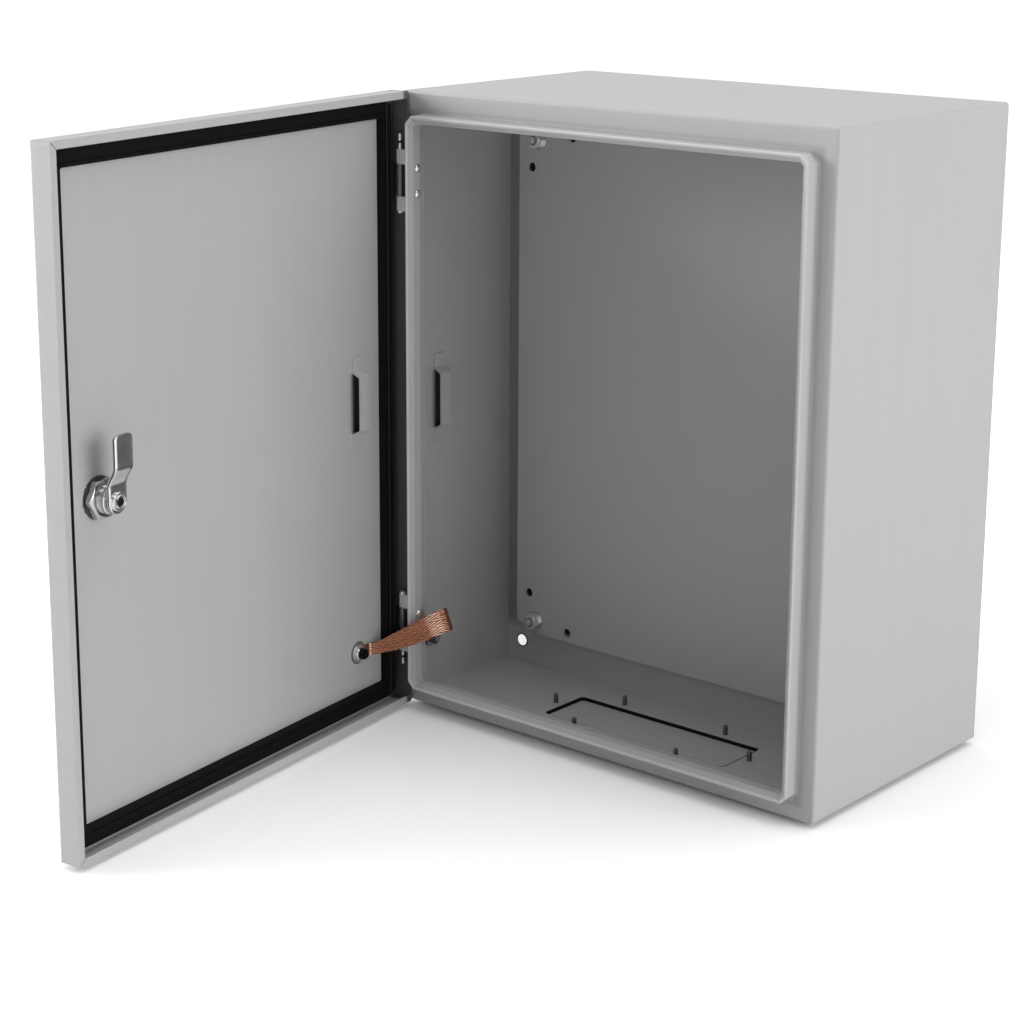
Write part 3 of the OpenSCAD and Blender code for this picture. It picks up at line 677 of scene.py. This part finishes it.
def spun(profile, steps=48, closed=True):
    # turns an outline of (radius, depth) points about the local Y axis
    b = bmesh.new()
    verts = [b.verts.new((r, y, 0)) for r, y in profile]
    ends = zip(verts, verts[1:] + verts[:1]) if closed else zip(verts, verts[1:])
    edges = [b.edges.new(pair) for pair in ends]
    bmesh.ops.spin(b, geom=verts + edges, cent=(0, 0, 0), axis=(0, 1, 0), angle=math.tau,
                   steps=steps, use_merge=True)
    bmesh.ops.remove_doubles(b, verts=b.verts, dist=0.001 * mm)
    bmesh.ops.dissolve_degenerate(b, edges=b.edges, dist=0.0005 * mm)
    bmesh.ops.recalc_face_normals(b, faces=b.faces)
    return b


def addPiece(name, b, matrix, body, material, replaced=(), sharp=35):
    bmesh.ops.transform(b, matrix=matrix, verts=b.verts)
    for face in b.faces:
        face.smooth = True
    for edge in b.edges:
        if len(edge.link_faces) == 2 and edge.calc_face_angle(0) > math.radians(sharp):
            edge.smooth = False
    mesh = bpy.data.meshes.new(name)
    b.to_mesh(mesh)
    b.free()
    mesh.materials.append(material)
    piece = bpy.data.objects.new(name, mesh)
    bpy.context.scene.collection.objects.link(piece)
    if body:
        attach(piece, body)
    if replaced:
        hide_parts(*replaced)
    return piece


def hexNut(flats, bore, start, end, turn=0.0):
    # hexagon nut chamfered at both faces, turned about local Y
    inner = flats / 2 * 0.96  # radius of the flat of each face
    corner = flats / 2 / math.cos(math.radians(30))
    slope = 0.58  # of the chamfer outside it
    b = spun([(bore / 2, start), (inner, start), (corner, start + 0.2 * mm), (corner, end - 0.2 * mm),
              (inner, end), (bore / 2 + 0.3 * mm, end), (bore / 2, end - 0.3 * mm)], steps=72)
    for v in b.verts:
        r = math.hypot(v.co.x, v.co.z)
        if r < inner * 1.01:
            continue
        # moved in from the round outline to the nearest of the six sides
        angle = math.atan2(v.co.z, v.co.x) - turn
        fromSide = (angle + math.pi / 6) % (math.pi / 3) - math.pi / 6
        reach = flats / 2 / math.cos(fromSide)
        drop = (reach - inner) * slope
        v.co.y = start + drop if v.co.y < (start + end) / 2 else end - drop
        v.co.x *= reach / r
        v.co.z *= reach / r
    return b


def threaded(radius, start, end, pitch, depth):
    # outline of a thread's crests and roots, from start to end
    count = max(int((end - start) / pitch), 1)
    step = (end - start) / count
    points = []
    for i in range(count):
        points += [(radius - depth, start + step * i), (radius, start + step * (i + 0.5))]
    return points + [(radius - depth, end)]


# lock: nut on the housing, thread beyond it, bright collar next to the cam

lockSettings = {
    "nutFlats": 27 * mm,
    "nutBore": 20.1 * mm,
    "nut": (2.7 * mm, 8.7 * mm),  # start and end, from the door's outer face
    "turn": 30,
    "threadRadius": 10.2 * mm,
    "threadEnd": 12.7 * mm,
    "threadDepth": 0.55 * mm,
    "pitch": 1.0 * mm,
    "bore": 9.5 * mm,  # radius inside the thread
    "collar": (13.2 * mm, 15.2 * mm),
    "collarRadius": 10 * mm,
    "collarBore": 9.3 * mm,
}


def makeLock(s):
    start, end = s["nut"]
    addPiece("lockNut", hexNut(s["nutFlats"], s["nutBore"], start, end, math.radians(s["turn"])), lockFrame,
             "door", metals["nutSteel"], ["lock_nut"])
    start, end = end + 0.05 * mm, s["threadEnd"]
    outline = threaded(s["threadRadius"], start, end, s["pitch"], s["threadDepth"])
    outline += [(s["bore"], end), (s["bore"], start)]
    addPiece("lockThread", spun(outline, 64), lockFrame, "door", metals["nutSteel"])
    start, end = s["collar"]
    bore, r = s["collarBore"], s["collarRadius"]
    outline = [(bore, start), (r - 0.1 * mm, start), (r, start + 0.4 * mm), (r, end - 0.3 * mm),
               (r - 0.3 * mm, end), (bore, end)]
    addPiece("lockCollar", spun(outline, 64), lockFrame, "door", metals["polished"])


# cam: flat bar with a round foot and a rounded tip, bent forward over the crank

camSettings = {
    "base": 17.1 * mm,  # from the door's outer face, at the foot
    "tip": 24 * mm,  # and at the tip
    "crank": (11 * mm, 25 * mm),  # start and end of the bend, along the bar
    "reach": 48 * mm,
    "width": 18 * mm,
    "thick": 2.5 * mm,
    "footEnd": 0.9 * mm,  # half of the short flat under the foot
    "tipRound": 4 * mm,
    "edge": 0.35 * mm,
}


def makeCam(s):
    low, high = s["crank"]
    half, tipRound = s["width"] / 2, s["tipRound"]
    b = bmesh.new()
    bmesh.ops.create_grid(b, x_segments=6, y_segments=60, size=1.0)
    for v in b.verts:
        along = -half + (v.co.y + 1) / 2 * (s["reach"] + half)
        pastRound = along - (s["reach"] - tipRound)
        if along < 0:
            wide = math.sqrt(max(half ** 2 - along ** 2, s["footEnd"] ** 2))
        elif pastRound > 0:
            wide = half - tipRound + math.sqrt(max(tipRound ** 2 - pastRound ** 2, 0))
        else:
            wide = half
        share = min(max((along - low) / (high - low), 0), 1)
        share = share * share * (3 - 2 * share) * 0.7 + share * 0.3
        v.co = Vector((v.co.x * wide, s["base"] + share * (s["tip"] - s["base"]), along))
    bmesh.ops.recalc_face_normals(b, faces=b.faces)
    made = bmesh.ops.extrude_face_region(b, geom=list(b.faces))
    moved = [g for g in made["geom"] if isinstance(g, bmesh.types.BMVert)]
    bmesh.ops.translate(b, verts=moved, vec=(0, s["thick"], 0))
    bmesh.ops.recalc_face_normals(b, faces=b.faces)
    rim = [e for e in b.edges if len(e.link_faces) == 2 and e.calc_face_angle(0) > math.radians(60)]
    bmesh.ops.bevel(b, geom=rim, offset=s["edge"], segments=2, profile=0.5, affect="EDGES", material=-1)
    addPiece("lockCam", b, lockFrame, "lock", metals["polished"], ["lock_cam"])


# cap on the cam: raised rim, hollow middle with a black disc of painted shade at its bottom, open ring round
# its edge

capSettings = {
    "start": camSettings["base"] + camSettings["thick"],
    "radius": 6.7 * mm,
    "flange": 1.8 * mm,  # high
    "step": 1.3 * mm,
    "rimRadius": 4.8 * mm,
    "rim": 3 * mm,  # high
    "hollow": 3.2 * mm,
    "hollowBottom": 0.7 * mm,
    "ringRadius": 4.6 * mm,
    "ringRise": 2.7 * mm,
    "wire": 0.45 * mm,
    "ringSpan": 300,  # degrees
    "ringTurn": 25,
}


def makeCap(s):
    y, r, rim, hollow = s["start"], s["radius"], s["rimRadius"], s["hollow"]
    flange, step, bottom = y + s["flange"], y + s["step"], y + s["hollowBottom"]
    top = y + s["rim"]
    outline = [(0, y), (r, y), (r, step), (r - 0.5 * mm, flange), (rim + 0.8 * mm, flange),
               (rim + 0.5 * mm, step), (rim + 0.2 * mm, step), (rim, top), (hollow + 0.3 * mm, top),
               (hollow, top - 0.3 * mm), (hollow, bottom), (0, bottom)]
    addPiece("lockCap", spun(outline, 56, closed=False), lockFrame, "lock", metals["polished"],
             ["cam_screw"])
    b = bmesh.new()
    bmesh.ops.create_circle(b, segments=10, radius=s["wire"], cap_ends=True)
    bmesh.ops.translate(b, verts=b.verts, vec=(s["ringRadius"], y + s["ringRise"], 0))
    start = list(b.verts) + list(b.edges) + list(b.faces)
    bmesh.ops.spin(b, geom=start, cent=(0, y + s["ringRise"], 0), axis=(0, 1, 0),
                   angle=math.radians(s["ringSpan"]), steps=30, use_merge=False)
    bmesh.ops.remove_doubles(b, verts=b.verts, dist=0.001 * mm)
    bmesh.ops.recalc_face_normals(b, faces=b.faces)
    turn = Matrix.Rotation(math.radians(s["ringTurn"]), 4, "Y")
    addPiece("lockClip", b, lockFrame @ turn, "lock", metals["polished"])
    # a near-black disc at the bottom of the hollow, painted shade
    low, high, wide = bottom + 0.05 * mm, bottom + 0.5 * mm, hollow - 0.05 * mm
    well = spun([(0, low), (wide, low), (wide, high), (0, high)], 32, closed=False)
    addPiece("lockWell", well, lockFrame, "lock", metals["blackZinc"])


makeLock(lockSettings)
makeCam(camSettings)
makeCap(capSettings)
print("lock made")

# nuts and thread ends at the corners of the mounting plate

plateNutSettings = {
    "flats": 12.4 * mm,
    "bore": 8.2 * mm,
    "forward": 2.2 * mm,  # how far a nut stands in front of the model's own
    "turn": 17,  # degrees from one nut to the next
    "studRadius": 3 * mm,
    "threadRadius": 3.03 * mm,
    "pointRadius": 2.2 * mm,
    "proud": 0.05 * mm,
}


def makePlateNuts(s):
    low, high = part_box("plate_nuts")
    studLow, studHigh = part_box("plate_studs")
    half, r = s["studRadius"], s["threadRadius"]
    tip, end = studLow.y - s["proud"], high.y - 0.5 * mm
    places = [(x, z) for x in (studLow.x + half, studHigh.x - half)
              for z in (studLow.z + half, studHigh.z - half)]
    for count, (x, z) in enumerate(places, 1):
        matrix = Matrix.Translation((x, 0, z))
        turn = math.radians((s["turn"] * count) % 60)
        addPiece("plateNut%d" % count, hexNut(s["flats"], s["bore"], low.y - s["forward"], high.y, turn),
                 matrix, "cabinet", metals["nutZinc"], ["plate_nuts"])
        outline = [(0, tip), (s["pointRadius"], tip), (r, tip + 0.5 * mm), (r, end), (0, end)]
        addPiece("plateThread%d" % count, spun(outline, 32, closed=False), matrix, "cabinet",
                 metals["nutZinc"])


# nuts of the earth studs, and the bright ring of the washer round the door's

doorNutSettings = {"flats": 8.4 * mm, "bore": 6.1 * mm, "start": 2.8 * mm, "high": 4.5 * mm}
bodyNutSettings = {"flats": 10 * mm, "bore": 6.1 * mm, "start": 2.8 * mm, "high": 4.5 * mm}
ringSettings = {"bore": 3.1 * mm, "radius": 5.6 * mm, "start": 2.85 * mm, "end": 4 * mm, "edge": 0.4 * mm}


def makeEarthNut(name, matrix, body, material, node, s):
    nut = hexNut(s["flats"], s["bore"], s["start"], s["start"] + s["high"])
    addPiece(name, nut, matrix, body, material, [node])


def makeEarthRing(s):
    bore, r, start, end, edge = s["bore"], s["radius"], s["start"], s["end"], s["edge"]
    outline = [(bore, start), (r, start), (r, end - edge), (r - edge, end), (bore, end)]
    addPiece("doorEarthRing", spun(outline, 48), doorStudFrame, "door", metals["polished"])


makePlateNuts(plateNutSettings)
makeEarthNut("doorEarthNut", doorStudFrame, "door", metals["blackZinc"], "door_earth_nut", doorNutSettings)
makeEarthRing(ringSettings)
makeEarthNut("bodyEarthNut", bodyStudFrame, "cabinet", metals["darkZinc"], "body_earth_nut", bodyNutSettings)

# hinge screws: domed heads with a round socket

hingeScrewSettings = {
    "headRadius": 3.4 * mm,
    "headHigh": 2.8 * mm,
    "wallHigh": 0.9 * mm,  # upright part of the head, under its dome
    "domeHigh": 1.8 * mm,
    "domeTurn": 12.9,  # degrees of each of the dome's six steps
    "shank": 2 * mm,
    "socket": 1.3 * mm,
    "apart": 10 * mm,  # each screw from the middle of its hinge
}


def makeHingeScrews(s):
    low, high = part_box("hinge_screws")
    seat = high.x - s["headHigh"]
    y = (low.y + high.y) / 2
    r, socket, shank, wall = s["headRadius"], s["socket"], s["shank"], seat + s["wallHigh"]
    hinge = high.z - r - s["apart"]
    outline = [(0, low.x), (shank, low.x), (shank, seat), (r - 0.1 * mm, seat), (r, seat + 0.3 * mm),
               (r, wall)]
    for i in range(1, 7):
        angle = math.radians(s["domeTurn"] * i)
        outline.append((socket + (r - socket) * math.cos(angle), wall + s["domeHigh"] * math.sin(angle)))
    outline += [(socket, high.x - 0.1 * mm), (socket, wall - 0.1 * mm), (0, wall - 0.3 * mm)]
    places = [middle + side * s["apart"] for middle in (hinge, -hinge) for side in (1, -1)]
    for count, z in enumerate(places, 1):
        matrix = Matrix.Translation((0, y, z)) @ Matrix.Rotation(math.radians(-90), 4, "Z")
        addPiece("hingeScrew%d" % count, spun(outline, 36, closed=False), matrix, "cabinet",
                 metals["screwZinc"], ["hinge_screws"])


makeHingeScrews(hingeScrewSettings)

# screws of the cable entry cover, with their threads standing up inside

entryScrewSettings = {
    "radius": 2 * mm,
    "head": 4 * mm,
    "headHigh": 1.4 * mm,
    "pitch": 0.7 * mm,
    "depth": 0.4 * mm,
    "apart": 0.285,  # of the opening's length, from its middle to the screws of the long sides
}


def makeEntryScrews(s):
    low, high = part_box("entry_screws")
    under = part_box("entry_cover")[0].z
    middleX, middleY = (low.x + high.x) / 2, (low.y + high.y) / 2
    apart = 2 * shellSettings["entryHalf"][0] * s["apart"]
    r, head = s["radius"], s["head"]
    places = [(low.x + head, middleY), (high.x - head, middleY)]
    places += [(middleX + side * apart, y) for side in (-1, 1) for y in (low.y + head, high.y - head)]
    bottom = under - s["headHigh"]
    outline = [(0, bottom), (head - 0.6 * mm, bottom), (head, bottom + 0.5 * mm), (head, under),
               (r - 0.3 * mm, under)]
    outline += threaded(r, under + 0.2 * mm, high.z - 1 * mm, s["pitch"], s["depth"])
    outline += [(1.1 * mm, high.z - 0.2 * mm), (0.8 * mm, high.z), (0, high.z)]
    for count, (x, y) in enumerate(places, 1):
        matrix = Matrix.Translation((x, y, 0)) @ Matrix.Rotation(math.radians(90), 4, "X")
        addPiece("entryScrew%d" % count, spun(outline, 28, closed=False), matrix, "cabinet",
                 metals["darkZinc"], ["entry_screws"])


makeEntryScrews(entryScrewSettings)
print("nuts and screws made")

# earth strap: flat copper braid from the door's stud to the body's

strapSettings = {
    "width": 16 * mm,
    "thick": 1.6 * mm,
    "lugThick": 1.2 * mm,
    "lugWidth": 9 * mm,
    "doorEnd": 39.5 * mm,  # from the hinge side
    "bodyEnd": 16.7 * mm,  # behind the front plane
    "overlap": 0.3 * mm,  # of the braid past the end of the door's lug
    "around": 44,  # steps round the braid
    "steps": 12,  # between two points of the route
    "bundles": 7,  # side by side on its skin
    "rope": 0.12 * mm,  # how high they stand
    "shine": (50.0, 68.0),  # mm along the braid
    "strand": 1.7,  # mm between strands
    "lean": 0.16,  # how far a strand wanders across for each length along
    "dark": (0.07, 0.022, 0.012),
    "mid": (0.44, 0.175, 0.092),
    "bright": (0.88, 0.56, 0.42),
    # place in the body frame in mm, share of the full width, lean of the width in degrees
    "route": [
        (4.5, -36, 53.5, 0.64, 4), (13, -29.5, 57.5, 0.80, 12), (24, -21, 63.5, 0.98, 20),
        (36, -12, 71, 1.12, 24), (45, -3, 76.5, 1.14, 24), (46.5, 2, 77, 1.12, 24), (41, 7, 76, 1.04, 22),
        (29, 8, 68, 0.90, 18), (17, 9, 59, 0.76, 8), (9.5, 12, 51.5, 0.64, 2),
    ],
}


def braidFinish(s):
    f = Finish("copperBraid")
    made = f.node("UVMap", {"uv_map": "braid"})
    along, across = f.split(made)[:2]
    one = (across + along * s["lean"]) * (math.pi / s["strand"])
    two = (across - along * s["lean"]) * (math.pi / s["strand"])
    # bundles of strands pass over and under each other
    bundle = ((one * 0.3).sine() * (two * 0.3).sine()).ease(-0.2, 0.2)
    height = one.sine().size() * bundle + two.sine().size() * (1 - bundle)
    uneven = f.noise(made, 0.45, 3.0, 0.6)
    # painted highlight: the turned-over loop is painted brighter
    loop = inside(along, *s["shine"], 6.0)
    # painted shade: darker in the gaps between the strands
    colour = f.mix(height.ease(0.2, 0.85), s["dark"], s["mid"])
    # painted highlights on the strand crests, strongest on the loop
    colour = f.mix((height * (uneven * 0.7 + loop * 0.4 + 0.10)).ease(0.40, 0.72), colour, s["bright"])
    return f.surface(colour=colour, rough=uneven * 0.2 + 0.28, metal=0.7,
                     normal=f.bump(height, 0.35 * mm, 0.9))


def routeAt(route, t):
    # smooth curve through the points, t counted in points
    i = min(max(int(t), 0), len(route) - 2)
    near = [route[min(max(k, 0), len(route) - 1)] for k in (i - 1, i, i + 1, i + 2)]
    x = t - i
    return [
        0.5 * (2 * q + (r - p) * x + (2 * p - 5 * q + 4 * r - w) * x * x + (3 * q - p - 3 * r + w) * x ** 3)
        for p, q, r, w in zip(*near)
    ]


def strapEnds(s):
    # ends of the braid on the door's lug and on the body's, and its way off the door's
    back = bodyFrame.inverted() @ doorFrame
    overLug = s["lugThick"] + s["thick"] / 2
    toHinge = back.to_3x3() @ Vector((-1, 0, 0))
    first = back @ Vector((s["doorEnd"], sheet + overLug, doorStudPlace[1])) + toHinge * s["overlap"]
    last = Vector((sheet + overLug, s["bodyEnd"], bodyStudPlace[1]))
    return first, last, toHinge


def strapPlace(p, angle, run, heading, s):
    # point of the braid's skin, at an angle round its section at point p of the line
    lean = math.radians(p[4])
    up = Vector((-math.sin(lean), 0, math.cos(lean)))
    side = (up - heading * up.dot(heading)).normalized()
    out = heading.cross(side).normalized()
    frayed = 1 + 0.006 * math.sin(run * 1.9 + angle) + 0.005 * math.sin(run * 3.7)
    share = math.cos(angle)
    rope = s["rope"] * math.cos(share * math.pi * s["bundles"] + run * 0.5)
    swell = math.copysign(abs(math.sin(angle)) ** 0.4, math.sin(angle)) * s["thick"] / 2
    return Vector(p[:3]) * mm + side * share * s["width"] * p[3] / 2 * frayed + out * (swell + rope)


def makeStrap(s):
    first, last, toHinge = strapEnds(s)
    lug = s["lugWidth"] / s["width"]
    route = [(*(first / mm), lug, 0)] + s["route"] + [(*(last / mm), lug, 0)]
    line = [routeAt(route, i / s["steps"]) for i in range((len(route) - 1) * s["steps"] + 1)]
    run = [0.0]  # distance along the braid at every step
    for p, q in zip(line, line[1:]):
        run.append(run[-1] + (Vector(q[:3]) - Vector(p[:3])).length)
    headings = [(Vector(q[:3]) - Vector(p[:3])).normalized() for p, q in zip(line, line[2:])]
    headings = [toHinge] + headings + [Vector((0, 1, 0))]
    # a flat grid, rows along the braid, wrapped round its section
    b = bmesh.new()
    bmesh.ops.create_grid(b, x_segments=s["around"], y_segments=len(line) - 1, size=1.0)
    layer = b.loops.layers.uv.new("braid")
    spot = {v.index: (round((v.co.y + 1) / 2 * (len(line) - 1)), v.co.x * math.pi) for v in b.verts}
    for face in b.faces:
        for loop in face.loops:
            row, angle = spot[loop.vert.index]
            loop[layer].uv = (run[row], math.cos(angle) * s["width"] / mm / 2 * line[row][3])
    for v in b.verts:
        row, angle = spot[v.index]
        v.co = strapPlace(line[row], angle, run[row], headings[row], s)
    bmesh.ops.remove_doubles(b, verts=b.verts, dist=0.002 * mm)
    bmesh.ops.holes_fill(b, edges=[e for e in b.edges if len(e.link_faces) == 1], sides=0)
    bmesh.ops.recalc_face_normals(b, faces=b.faces)
    piece = addPiece("earthBraid", b, bodyFrame, None, braidFinish(s), ["earth_strap"], 80)
    start = bodyFrame @ last
    end = bodyFrame @ first
    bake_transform(piece)


def lugFinish(name, matrix, s):
    # tinned eye round the stud, bare copper towards the braid
    f = Finish(name)
    x, _, z = f.placeIn(matrix)
    cloud = f.noise(f.place(), 400.0, 3.0)
    tinned = f.mix(cloud, grey(0.55), grey(0.85))
    copper = f.mix(cloud, s["dark"], s["mid"])
    colour = f.mix(distance(x, z).ease(6.4 * mm, 6.8 * mm), tinned, copper)
    return f.surface(colour=colour, rough=cloud * 0.2 + 0.28, metal=0.8)


makeStrap(strapSettings)
coat("door_strap_lug", lugFinish("doorLugMetal", doorStudFrame, strapSettings))
coat("body_strap_lug", lugFinish("bodyLugMetal", bodyStudFrame, strapSettings))

# folded end of the braid at the door's lug

foldSettings = {
    "place": (38.6 * mm, 4.1 * mm, doorStudPlace[1]),  # in the door frame
    "radius": 2.0 * mm,
    "half": 5.2 * mm,
    "edge": 0.6 * mm,
    "dark": (0.45, 0.18, 0.11),
    "bright": (0.93, 0.68, 0.55),
}


def makeFold(s):
    r, half, edge = s["radius"], s["half"], s["edge"]
    outline = [(0, -half), (r * 0.7, -half), (r, edge - half), (r, half - edge), (r * 0.7, half), (0, half)]
    matrix = doorFrame @ Matrix.Translation(s["place"]) @ Matrix.Rotation(math.radians(90), 4, "X")
    f = Finish("foldCopper")
    cloud = f.noise(f.place(), 700.0, 3.0)
    colour = f.mix(cloud.ease(0.35, 0.65), s["dark"], s["bright"])
    material = f.surface(colour=colour, rough=cloud * 0.2 + 0.22, metal=0.8,
                         normal=f.bump(cloud, 0.1 * mm, 0.6))
    addPiece("braidFold", spun(outline, 24, closed=False), matrix, "door", material)


makeFold(foldSettings)
print("earth strap made")
